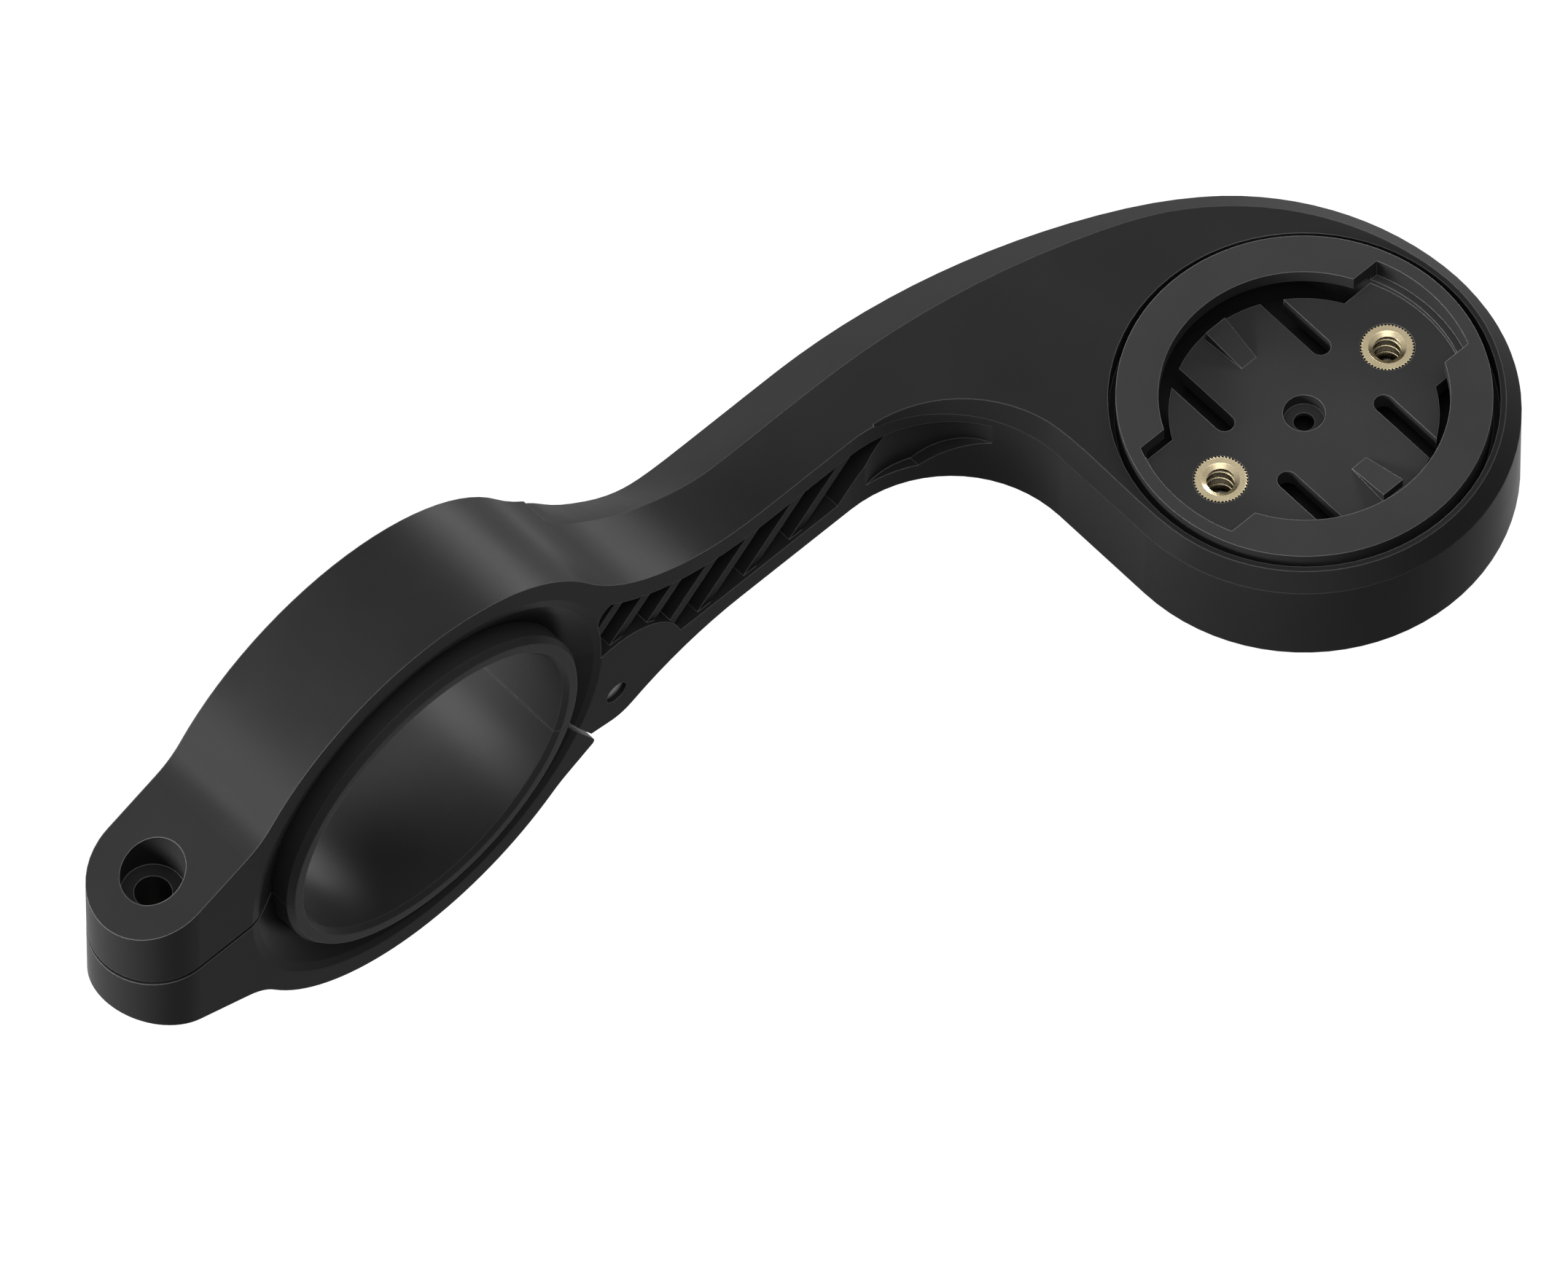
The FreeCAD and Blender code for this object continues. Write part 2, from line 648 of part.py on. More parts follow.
def bevel_cutter():
    """Everything above the bevel: a loft of three-cornered sections."""
    sections = []
    for high, low in bevel_stations():
        run = low - high
        inner = high - run * 0.5
        outer = low + run * 0.5
        corner = Vector(outer.x, outer.y, inner.z)
        sections.append(Part.makePolygon([inner, outer, corner, inner]))
    return Part.makeLoft(sections, True, False)


# Side recess: slanted ribs between two flanges, ended by a scoop round the elbow

def right_of_side(inset):
    """All the space to the right of the arm's right side, moved into the arm by inset."""
    elbow = elbow_centre()
    side = -size("clamp_half_width") + inset
    radius = size("elbow_radius") + inset
    far = elbow.y - 2 * radius
    outline = Outline(Vector(BORE.x, side, 0))
    outline.line(Vector(elbow.x, side, 0))
    outline.arc(elbow + Vector(radius, 0, 0), elbow, -1)
    outline.line(Vector(elbow.x + radius, far, 0))
    outline.line(Vector(BORE.x, far, 0))
    return upright(outline.close().face(), -size("clamp_radius"), size("clamp_radius"))


def slanted(edge, z):
    """A point of a 45 degree line in the side view, named by where it crosses bore height."""
    return Vector(edge + z, z, 0)


def last_rib_edge():
    return size("rib_start") + size("rib_pitch") * (size("rib_count") - 1)


def recess_outline():
    """Side view of the recess: collar, ear plate, lower flange, last rib and upper flange."""
    top = size("plate_top") - size("flange")
    bottom = size("flange") - size("plate_bottom")
    neck = neck_top_centre()
    upper = size("neck_top_radius") + size("flange")
    plate = size("ear_plate_radius")
    start = size("recess_start_radius")
    near = circle_meeting(BORE, start, PIN, plate, 1)
    corner = on_circle(BORE, start, size("recess_corner_angle"))
    rise = Vector(corner.x + size("recess_corner_reach"), 0, 0)
    rise.y = neck.y - math.sqrt(upper ** 2 - (neck.x - rise.x) ** 2)
    foot = Vector(PIN.x + math.sqrt(plate ** 2 - (bottom - PIN.y) ** 2), bottom, 0)
    outline = Outline(near)
    outline.arc(corner, BORE, 1)
    round_corner = size("recess_corner_bend") * (rise - corner).Length
    outline.arc(rise, circle_meeting(corner, round_corner, rise, round_corner, -1), -1)
    outline.arc(Vector(neck.x, top, 0), neck, 1)
    outline.line(slanted(last_rib_edge(), top))
    outline.line(slanted(last_rib_edge(), bottom))
    outline.line(foot)
    outline.arc(near, PIN, 1)
    return outline.close()


def recess_cutter():
    """The recess with its ribs left standing, their faces a little below the side."""
    low, high = -size("plate_bottom"), size("clamp_radius")
    space = crosswise(recess_outline().face(), HEAD.y, 0)
    space = space.common(right_of_side(size("recess_depth")))
    face = right_of_side(size("rib_inset"))
    for rib in range(int(size("rib_count")) - 1):
        edge = size("rib_start") + size("rib_pitch") * rib
        back = edge + size("rib_width") * math.sqrt(2)
        outline = Outline(slanted(edge, low))
        outline.line(slanted(back, low)).line(slanted(back, high)).line(slanted(edge, high))
        slab = crosswise(outline.close().face(), HEAD.y, size("clamp_half_width"))
        space = space.cut(slab.cut(face))
    return space


def scoop_cutter():
    """Shallow upright scoop past the last rib, deepest halfway and fading into the elbow."""
    elbow = elbow_centre()
    radius = size("elbow_radius")
    top = size("plate_top") - size("flange")
    bottom = size("flange") - size("plate_bottom")
    half = math.radians(size("scoop_half_angle"))
    deep = radius + size("scoop_depth")
    shift = (deep ** 2 - radius ** 2) / (2 * (deep - radius * math.cos(half)))
    centre = on_circle(elbow, shift, size("scoop_angle"))
    round_space = Part.makeCylinder(deep - shift, size("clamp_radius"),
                                    centre - Vector(0, 0, size("clamp_radius") / 2))
    tip = elbow.x + radius
    outline = Outline(slanted(last_rib_edge(), top))
    outline.line(slanted(last_rib_edge(), bottom))
    outline.line(Vector(elbow.x + size("scoop_toe"), bottom, 0))
    outline.line(Vector(elbow.x + size("scoop_step"), bottom + size("scoop_rise"), 0))
    outline.line(Vector(tip, top - size("scoop_tip"), 0))
    outline.line(Vector(tip, top, 0))
    return round_space.common(crosswise(outline.close().face(), HEAD.y, 0))


def shape_part(name, shape):
    part = doc.addObject("Part::Feature", name)
    part.Shape = shape
    return part


def cut_away(label, base, tools):
    """One Part::Cut after another, the last of which is the finished piece."""
    for tool in tools:
        cut = doc.addObject("Part::Cut", "cut_" + tool.Name)
        cut.Base = base
        cut.Tool = tool
        base = cut
    base.Label = label
    return base


def arm():
    body = arm_body()
    tools = [shape_part("bevel", bevel_cutter()), shape_part("recess", recess_cutter()),
             shape_part("scoop", scoop_cutter())]
    return cut_away("arm", body, tools)


# Strap: lower clamp half, with a knuckle between the arm's ears

def strap_corner():
    """Where the strap's end face reaches a step beyond the clamp ring."""
    foot = end_face(size("face_distance") + size("hinge_gap"), 0)
    down = end_face(0, 1) - PIN
    reach = size("clamp_radius") + size("strap_step")
    along = math.sqrt(foot.dot(down) ** 2 - foot.dot(foot) + reach ** 2) - foot.dot(down)
    return foot + down * along


def strap_side():
    """Side view of the strap: boss, half ring, tip beside the liner and flared corner."""
    gap = size("parting_gap")
    tip = size("tip_drop") + size("tip_gap")
    face = size("face_distance") + size("hinge_gap")
    corner = strap_corner()
    outline = Outline(Vector(-BOSS_TIP, -gap, 0))
    outline.line(Vector(-math.sqrt(SEAT_RADIUS ** 2 - gap ** 2), -gap, 0))
    outline.arc(Vector(math.sqrt(SEAT_RADIUS ** 2 - tip ** 2), -tip, 0), BORE, 1)
    outline.line(Vector(size("tip_forward") - size("hinge_gap"), -tip, 0))
    outline.line(end_face(face, -size("face_start")))
    on_flare, on_ring, centre = blend_to_clamp(corner, 180 + size("flare_angle"),
                                               size("strap_flare_radius"), 1)
    outline.corner(corner, on_flare, size("strap_corner_radius"))
    outline.line(on_flare)
    outline.arc(on_ring, centre, 1)
    on_boss, on_ring, centre = boss_blend()
    outline.arc(mirrored(on_ring), BORE, -1)
    outline.arc(mirrored(on_boss), mirrored(centre), 1)
    outline.line(Vector(-BOSS_TIP, -size("boss_end_height"), 0))
    return outline.close()


def strap_plan():
    """Plan of the strap: round boss and straight sides."""
    side = size("clamp_half_width")
    boss = Vector(-size("boss_reach"), 0, 0)
    end = size("clamp_radius") + size("clamp_half_width")
    outline = Outline(boss + Vector(0, side, 0))
    outline.arc(boss - Vector(0, side, 0), boss, 1)
    outline.line(Vector(end, -side, 0))
    outline.line(Vector(end, side, 0))
    return outline.close()


def knuckle():
    """Round knuckle and the neck that joins it to the strap's end."""
    face = size("face_distance") + size("hinge_gap")
    radius = size("knuckle_radius")
    low = end_face(face, size("strap_face_end"))
    high = end_face(face, -size("face_start"))
    inward = Vector(-size("neck_overlap"), 0, 0)
    outline = Outline(on_circle(PIN, radius, NECK_TOP_ANGLE))
    outline.arc(on_circle(PIN, radius, NECK_LOW_ANGLE), PIN, -1)
    outline.line(low)
    outline.line(low + inward * 2)
    outline.line(end_face(face + size("neck_overlap"), 0))
    outline.line(high + inward * 0.2 + Vector(0, size("hinge_gap"), 0))
    return outline.close()


def strap():
    body = new_body("clamp_strap")
    side = new_sketch(body, "strap_side", "XZ_Plane")
    draw(side, strap_side())
    extrude(body, "Pad", side, "2 * sizes.clamp_half_width", "Symmetric")
    plan = new_sketch(body, "strap_plan", "XY_Plane")
    draw(plan, frame_outline())
    draw(plan, strap_plan())
    extrude(body, "Pocket", plan, "4 * sizes.clamp_radius", "Symmetric")
    add_hollows_and_seat(body)
    joint = new_sketch(body, "knuckle", "XZ_Plane")
    draw(joint, knuckle())
    extrude(body, "Pad", joint, "2 * sizes.knuckle_half_width", "Symmetric")
    add_pin_hole(body)
    screw = new_sketch(body, "strap_screw_hole", "XY_Plane")
    draw_circle(screw, "sizes.screw_hole_radius", "-sizes.boss_reach")
    extrude(body, "Pocket", screw, "sizes.strap_insert_drop")
    insert = new_sketch(body, "strap_insert_hole", "XY_Plane", "-sizes.strap_insert_drop")
    draw_circle(insert, "sizes.insert_radius + sizes.insert_clearance", "-sizes.boss_reach")
    extrude(body, "Pocket", insert, "sizes.clamp_radius")
    return body


# Liners: half sleeves with a lip at each end

def liner_outline():
    """Section of the liner: sleeve, two lips with slanted outer edges, and a chamfered mouth."""
    bore, sleeve = size("bar_radius"), size("bar_radius") + size("liner_wall")
    lip, face = size("lip_radius"), size("liner_reach")
    ledge = face - size("lip_thickness")
    mouth = size("liner_chamfer")
    half = [(bore, face - mouth), (bore + mouth, face), (lip - size("lip_slant"), face),
            (lip, face - size("lip_slant_length")), (lip, ledge), (sleeve, ledge)]
    outline = Outline(Vector(bore, mouth - face, 0))
    for x, y in half + [(x, -y) for x, y in reversed(half)]:
        outline.line(Vector(x, y, 0))
    return outline


def liner_parting(up):
    """The space that a half sleeve leaves to the other; up is 1 for the upper one."""
    reach = 3 * size("clamp_radius")
    left = -size("parting_gap") / 2 + up * size("liner_gap") / 2
    right = -size("tip_drop") - size("liner_gap") / 2 + up * size("liner_gap") / 2
    outline = Outline(Vector(-reach, left, 0))
    for x, y in [(0, left), (0, right), (reach, right), (reach, -up * reach),
                 (-reach, -up * reach)]:
        outline.line(Vector(x, y, 0))
    return outline.close()


def liner(name, up):
    body = new_body(name)
    ring = new_sketch(body, name + "_ring", "XY_Plane")
    draw(ring, liner_outline())
    turn(body, "Revolution", ring, "V_Axis")
    half = new_sketch(body, name + "_parting", "XZ_Plane")
    draw(half, liner_parting(up))
    extrude(body, "Pocket", half, "4 * sizes.liner_reach", "Symmetric")
    return body


def hinge_pin():
    pin = doc.addObject("Part::Cylinder", "hinge_pin")
    pin.setExpression("Radius", "sizes.pin_radius")
    pin.setExpression("Height", "2 * (sizes.clamp_half_width - sizes.pin_recess)")
    pin.Placement.Rotation = FreeCAD.Rotation(Vector(1, 0, 0), 90)
    pin.setExpression("Placement.Base.x", "sizes.pin_forward")
    pin.setExpression("Placement.Base.y", "sizes.clamp_half_width - sizes.pin_recess")
    pin.setExpression("Placement.Base.z", "-sizes.pin_drop")
    return pin


# Socket: round disc with two lips, a sprung floor and two detents, drawn about its own centre

def notch_outline():
    radius, half = size("notch_radius"), size("notch_half_width")
    reach = math.sqrt(radius ** 2 - half ** 2)
    outline = Outline(Vector(reach, -half, 0))
    outline.arc(Vector(reach, half, 0), BORE, 1)
    outline.line(Vector(-reach, half, 0))
    outline.arc(Vector(-reach, -half, 0), BORE, 1)
    return outline.close()


def arc_gap_outline(side):
    """Gap between the sprung floor and the ring; side is 1 on the left, -1 on the right."""
    outer, inner, half = size("undercut_radius"), size("floor_radius"), size("notch_half_width")
    far, near = math.sqrt(outer ** 2 - half ** 2), math.sqrt(inner ** 2 - half ** 2)
    outline = Outline(Vector(far, side * half, 0))
    outline.arc(Vector(-far, side * half, 0), BORE, side)
    outline.line(Vector(-near, side * half, 0))
    outline.arc(Vector(near, side * half, 0), BORE, -side)
    return outline.close()


def slot_outline(forward, side):
    """One floor slot, round at its inner end and open to the arc gap."""
    half = size("slot_width") / 2
    x = forward * size("slot_offset")
    inner = side * (size("slot_start") + half)
    outer = side * (size("floor_radius") + size("undercut_radius")) / 2
    reach = side * math.sqrt(outer ** 2 - size("slot_offset") ** 2)
    outline = Outline(Vector(x - half, inner, 0))
    outline.arc(Vector(x + half, inner, 0), Vector(x, inner, 0), side)
    outline.line(Vector(x + half, reach, 0))
    outline.line(Vector(x - half, reach, 0))
    return outline.close()


def add_detent(body, name, degrees):
    """A wedge that rises and widens outwards on the sprung floor."""
    wedge = body.newObject("PartDesign::AdditiveWedge", name)
    sizes = {"Ymin": "sizes.detent_start", "Ymax": "sizes.detent_end",
             "Xmin": "-sizes.detent_foot_width / 2", "Xmax": "sizes.detent_foot_width / 2",
             "X2min": "-sizes.detent_width / 2", "X2max": "sizes.detent_width / 2",
             "Zmin": "0", "Zmax": "sizes.detent_foot_height",
             "Z2min": "0", "Z2max": "sizes.detent_height"}
    for name, expression in sizes.items():
        wedge.setExpression(name, expression)
    plane = [f for f in body.Origin.OriginFeatures if f.Role == "XY_Plane"][0]
    wedge.AttachmentSupport = [(plane, "")]
    wedge.MapMode = "FlatFace"
    wedge.AttachmentOffset.Rotation = FreeCAD.Rotation(Vector(0, 0, 1), degrees)
    wedge.setExpression("AttachmentOffset.Base.z", "-sizes.socket_floor")
    return wedge


def place_at(body, x, y):
    body.setExpression("Placement.Base.x", x)
    body.setExpression("Placement.Base.y", y)


def socket():
    body = new_body("socket")
    disc = new_sketch(body, "disc", "XY_Plane", "-sizes.seat_drop")
    draw_circle(disc, "sizes.socket_radius")
    extrude(body, "Pad", disc, "sizes.seat_drop + sizes.socket_top")
    mouth = new_sketch(body, "mouth", "XY_Plane", "sizes.socket_top")
    draw_circle(mouth, "sizes.mouth_radius")
    extrude(body, "Pocket", mouth, "sizes.socket_top + sizes.socket_floor")
    undercut = new_sketch(body, "undercut", "XY_Plane", "-sizes.socket_floor")
    draw_circle(undercut, "sizes.undercut_radius")
    extrude(body, "Pocket", undercut, "sizes.lip_underside + sizes.socket_floor",
            backwards=True)
    notch = new_sketch(body, "notches", "XY_Plane", "sizes.socket_top")
    draw(notch, notch_outline())
    extrude(body, "Pocket", notch, "sizes.socket_top")
    hollow = new_sketch(body, "hollow", "XY_Plane", "-sizes.seat_drop")
    draw_circle(hollow, "sizes.undercut_radius")
    draw_circle(hollow, "sizes.insert_boss_radius", "sizes.insert_spread")
    draw_circle(hollow, "sizes.insert_boss_radius", "-sizes.insert_spread")
    extrude(body, "Pocket", hollow,
            "sizes.seat_drop - sizes.socket_floor - sizes.floor_thickness", backwards=True)
    gaps = new_sketch(body, "arc_gaps", "XY_Plane", "-sizes.socket_floor")
    for side in (1, -1):
        draw(gaps, arc_gap_outline(side))
    extrude(body, "Pocket", gaps, "2 * sizes.floor_thickness")
    slots = new_sketch(body, "slots", "XY_Plane", "-sizes.socket_floor")
    for forward in (1, -1):
        for side in (1, -1):
            draw(slots, slot_outline(forward, side))
    extrude(body, "Pocket", slots, "2 * sizes.floor_thickness")
    hub = new_sketch(body, "hub", "XY_Plane", "-sizes.socket_floor")
    draw_circle(hub, "sizes.hub_radius")
    extrude(body, "Pocket", hub, "sizes.hub_depth")
    pivot = new_sketch(body, "pivot", "XY_Plane", "-sizes.socket_floor")
    draw_circle(pivot, "sizes.pivot_radius")
    extrude(body, "Pocket", pivot, "2 * sizes.floor_thickness")
    holes = new_sketch(body, "insert_holes", "XY_Plane", "-sizes.socket_floor")
    for spread in ("sizes.insert_spread", "-sizes.insert_spread"):
        draw_circle(holes, "sizes.insert_radius + sizes.insert_clearance", spread)
    extrude(body, "Pocket", holes, "sizes.seat_drop")
    add_detent(body, "left_detent", 0)
    add_detent(body, "right_detent", 180)
    place_at(body, "sizes.head_forward", "-sizes.head_side")
    return body


# Brass inserts and the screws below them

def insert(name, x, y, top):
    """A threaded insert whose upper end is at the height top."""
    outer, bore, mouth = size("insert_radius"), size("insert_bore"), size("insert_mouth")
    length = size("seat_drop") - size("socket_floor")
    body = new_body(name)
    section = new_sketch(body, name + "_section", "XZ_Plane")
    outline = Outline(Vector(bore, -length, 0))
    for across, up in [(outer, -length), (outer, 0), (mouth, 0), (bore, bore - mouth)]:
        outline.line(Vector(across, up, 0))
    draw(section, outline.close())
    turn(body, "Revolution", section, "V_Axis")
    place_at(body, x, y)
    body.setExpression("Placement.Base.z", top)
    return body


def socket_screw(name, x, y):
    """A cap screw from below, its end in the insert, its thread drawn as its core."""
    body = new_body(name)
    under = new_sketch(body, name + "_head", "XY_Plane")
    draw_circle(under, "sizes.pan_radius")
    extrude(body, "Pad", under, "sizes.pan_height", backwards=True)
    shank = new_sketch(body, name + "_shank", "XY_Plane")
    draw_circle(shank, "sizes.insert_bore - sizes.thread_clearance")
    extrude(body, "Pad", shank, "sizes.plate_bottom - sizes.pan_height - sizes.pan_clearance"
            " - sizes.seat_drop + sizes.screw_reach")
    key = new_sketch(body, name + "_key", "XY_Plane", "-sizes.pan_height")
    corners = [on_circle(BORE, size("key_radius"), 60 * corner) for corner in range(6)]
    outline = Outline(corners[0])
    for corner in corners[1:]:
        outline.line(corner)
    draw(key, outline.close())
    extrude(body, "Pocket", key, "sizes.key_depth", backwards=True)
    place_at(body, x, y)
    body.setExpression("Placement.Base.z",
                       "sizes.pan_height + sizes.pan_clearance - sizes.plate_bottom")
    return body


# Build, check and write every piece

def check(pieces):
    for item in doc.Objects:
        if "Invalid" in item.State or "Error" in item.State:
            raise RuntimeError("%s could not be built" % item.Name)
    for piece in pieces:
        shape = piece.Shape
        if shape.isNull() or not shape.isValid() or len(shape.Solids) != 1:
            raise RuntimeError("%s is not one sound solid" % piece.Label)


def main():
    at_front = "sizes.head_forward + sizes.insert_spread"
    at_rear = "sizes.head_forward - sizes.insert_spread"
    across = "-sizes.head_side"
    pieces = [
        arm(),
        strap(),
        hinge_pin(),
        liner("upper_liner", 1),
        liner("lower_liner", -1),
        socket(),
        insert("front_insert", at_front, across, "-sizes.socket_floor"),
        insert("rear_insert", at_rear, across, "-sizes.socket_floor"),
        insert("clamp_insert", "-sizes.boss_reach", "0", "-sizes.strap_insert_drop"),
        socket_screw("front_socket_screw", at_front, across),
        socket_screw("rear_socket_screw", at_rear, across),
    ]
    doc.recompute()
    check(pieces)
    os.makedirs("parts", exist_ok=True)
    for piece in pieces:
        piece.Shape.exportStep("parts/%s.step" % piece.Label)
        print(piece.Label, round(piece.Shape.Volume, 1))


main()
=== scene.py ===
"""Looks of the bike computer mount: materials, turned pieces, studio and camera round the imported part."""

import math

import bmesh
import bpy
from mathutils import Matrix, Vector


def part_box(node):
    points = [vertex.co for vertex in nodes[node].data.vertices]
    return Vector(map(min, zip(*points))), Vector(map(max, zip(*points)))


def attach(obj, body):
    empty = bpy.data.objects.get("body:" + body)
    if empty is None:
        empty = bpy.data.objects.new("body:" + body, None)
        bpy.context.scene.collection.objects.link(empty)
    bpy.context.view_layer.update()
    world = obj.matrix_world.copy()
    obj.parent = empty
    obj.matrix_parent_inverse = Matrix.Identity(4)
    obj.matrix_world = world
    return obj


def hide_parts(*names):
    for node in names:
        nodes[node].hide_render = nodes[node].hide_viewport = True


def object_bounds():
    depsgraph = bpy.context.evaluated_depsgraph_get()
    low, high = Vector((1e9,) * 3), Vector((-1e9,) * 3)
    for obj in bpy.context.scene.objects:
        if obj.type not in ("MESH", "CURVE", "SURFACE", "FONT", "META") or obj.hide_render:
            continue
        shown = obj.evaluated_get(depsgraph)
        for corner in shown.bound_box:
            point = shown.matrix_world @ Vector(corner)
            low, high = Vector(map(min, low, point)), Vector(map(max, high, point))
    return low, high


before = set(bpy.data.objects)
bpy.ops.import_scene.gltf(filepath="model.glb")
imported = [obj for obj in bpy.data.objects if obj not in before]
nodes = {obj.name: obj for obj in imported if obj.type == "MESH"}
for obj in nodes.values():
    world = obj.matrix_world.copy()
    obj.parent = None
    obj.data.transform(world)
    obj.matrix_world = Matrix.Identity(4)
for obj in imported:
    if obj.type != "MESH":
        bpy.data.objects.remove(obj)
cad_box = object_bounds()
MM = 0.001

# Camera: where the photograph looks from and how much it takes in, angles in degrees

VIEW_AZIMUTH = -42.9
VIEW_ELEVATION = 58.4
VIEW_TARGET = Vector((34.66, -16.07, 0)) * MM
VIEW_WIDTH = 141.9 * MM
LENS = 1200.0
SENSOR = 36.0
CLIP_START = 0.1
CLIP_END = 20


def stand_off(thing, azimuth, elevation, distance):
    """Puts a camera or lamp at two angles in degrees and a distance from the target, facing it."""
    around = math.radians(azimuth)
    above = math.radians(elevation)
    out = Vector((
        math.sin(around) * math.cos(above),
        -math.cos(around) * math.cos(above),
        math.sin(above),
    ))
    thing.location = VIEW_TARGET + out * distance
    thing.rotation_mode = "QUATERNION"
    thing.rotation_quaternion = (-out).to_track_quat("-Z", "Y")
    bpy.context.scene.collection.objects.link(thing)


def add_camera():
    """A long lens far back, because the photograph shows almost no perspective."""
    camera = bpy.data.objects.new("camera", bpy.data.cameras.new("camera"))
    camera.data.lens = LENS
    camera.data.sensor_width = SENSOR
    camera.data.clip_start = CLIP_START
    camera.data.clip_end = CLIP_END
    stand_off(camera, VIEW_AZIMUTH, VIEW_ELEVATION, VIEW_WIDTH * LENS / SENSOR)
    bpy.context.scene.camera = camera


# Materials: sizes and depths in millimetres

# The middle of a noise's values, in which nearly all of them lie
NOISE_LOW = 0.3
NOISE_HIGH = 0.7

# Cosine between the true and the rounded normal where the painted edge highlight begins and where it is
# full
EDGE_START = 0.995
EDGE_FULL = 0.8
BEVEL_SAMPLES = 6

# Plastic: patches a little lighter and rougher than the rest, and the grain of the mould
PATCH_SIZE = 9
PATCH_TINT = 1.12
PATCH_GLOSS = 0.03
GRAIN_DEPTH = 0.02
GRAIN_STRENGTH = 0.35

# Metal: tarnish, and marks that change its roughness and relief
METAL_EDGE = 0.06
TARNISH_SIZE = 1.4
MARK_SMOOTHEST = -0.06
MARK_ROUGHEST = 0.08
MARK_DEPTH = 0.008
MARK_STRENGTH = 0.4


def seen(tree):
    """1 for rays that show a surface as it looks, 0 for those that only carry its light."""
    path = tree.nodes.new("ShaderNodeLightPath")
    total = path.outputs["Is Camera Ray"]
    for name in ("Is Glossy Ray", "Is Transmission Ray"):
        add = tree.nodes.new("ShaderNodeMath")
        add.operation = "ADD"
        add.use_clamp = True
        tree.links.new(total, add.inputs[0])
        tree.links.new(path.outputs[name], add.inputs[1])
        total = add.outputs["Value"]
    return total


class Shader:
    """A material's node tree, with the Principled shader and short calls to add and join nodes."""

    def __init__(self, name):
        self.material = bpy.data.materials.new(name)
        self.material.use_nodes = True
        self.tree = self.material.node_tree
        self.tree.nodes.clear()
        self.output = self.tree.nodes.new("ShaderNodeOutputMaterial")
        self.surface = self.tree.nodes.new("ShaderNodeBsdfPrincipled")
        self.join(self.surface.outputs["BSDF"], self.output.inputs["Surface"])
        self.place = self.tree.nodes.new("ShaderNodeTexCoord").outputs["Object"]

    def join(self, source, socket):
        """Links an output to an input."""
        self.tree.links.new(source, socket)

    def noise(self, size, detail=2.0, roughness=0.5):
        """Noise whose features are about size millimetres wide, from 0 to 1."""
        noise = self.tree.nodes.new("ShaderNodeTexNoise")
        noise.inputs["Scale"].default_value = 1 / (size * MM)
        noise.inputs["Detail"].default_value = detail
        noise.inputs["Roughness"].default_value = roughness
        self.join(self.place, noise.inputs["Vector"])
        return noise.outputs["Fac"]

    def spread(self, value, low, high):
        """Spreads the middle of a noise's values over low to high."""
        spread = self.tree.nodes.new("ShaderNodeMapRange")
        spread.inputs["From Min"].default_value = NOISE_LOW
        spread.inputs["From Max"].default_value = NOISE_HIGH
        spread.inputs["To Min"].default_value = low
        spread.inputs["To Max"].default_value = high
        self.join(value, spread.inputs["Value"])
        return spread.outputs["Result"]

    def mix(self, share, first, second):
        """A colour between two, by share."""
        mix = self.tree.nodes.new("ShaderNodeMix")
        mix.data_type = "RGBA"
        self.join(share, mix.inputs["Factor"])
        for socket, colour in ((mix.inputs["A"], first), (mix.inputs["B"], second)):
            if isinstance(colour, tuple):
                socket.default_value = (*colour, 1)
            else:
                self.join(colour, socket)
        return mix.outputs["Result"]

    def rounded(self, radius):
        """The normal with sharp edges rounded over radius millimetres."""
        bevel = self.tree.nodes.new("ShaderNodeBevel")
        bevel.samples = BEVEL_SAMPLES
        bevel.inputs["Radius"].default_value = radius * MM
        return bevel.outputs["Normal"]

    def bump(self, height, depth, strength, normal):
        """Relief of depth millimetres on a normal."""
        bump = self.tree.nodes.new("ShaderNodeBump")
        bump.inputs["Strength"].default_value = strength
        bump.inputs["Distance"].default_value = depth * MM
        self.join(height, bump.inputs["Height"])
        self.join(normal, bump.inputs["Normal"])
        return bump.outputs["Normal"]

    def edge_share(self, normal):
        """Nearly 0 on faces and up to 1 where the rounded normal leaves the true one."""
        geometry = self.tree.nodes.new("ShaderNodeNewGeometry")
        dot = self.tree.nodes.new("ShaderNodeVectorMath")
        dot.operation = "DOT_PRODUCT"
        self.join(geometry.outputs["Normal"], dot.inputs[0])
        self.join(normal, dot.inputs[1])
        spread = self.tree.nodes.new("ShaderNodeMapRange")
        spread.inputs["From Min"].default_value = EDGE_START
        spread.inputs["From Max"].default_value = EDGE_FULL
        self.join(dot.outputs["Value"], spread.inputs["Value"])
        return spread.outputs["Result"]


def plastic(name, colour, edge_highlight, roughness, specular, grain, edge):
    """Moulded plastic: a fine eroded grain, slow changes of gloss, and edges painted lighter as a painted
    highlight.
    """
    shader = Shader(name)
    surface = shader.surface.inputs
    normal = shader.rounded(edge)
    patches = shader.noise(PATCH_SIZE, detail=3)
    tint = shader.mix(shader.spread(patches, 0, 1), colour, tuple(PATCH_TINT * c for c in colour))
    # Edges take the lighter edge colour: a painted highlight along them
    shader.join(shader.mix(shader.edge_share(normal), tint, edge_highlight), surface["Base Color"])
    gloss = shader.spread(patches, roughness - PATCH_GLOSS, roughness + PATCH_GLOSS)
    shader.join(gloss, surface["Roughness"])
    surface["Specular IOR Level"].default_value = specular
    shader.join(shader.bump(shader.noise(grain), GRAIN_DEPTH, GRAIN_STRENGTH, normal), surface["Normal"])
    return shader.material


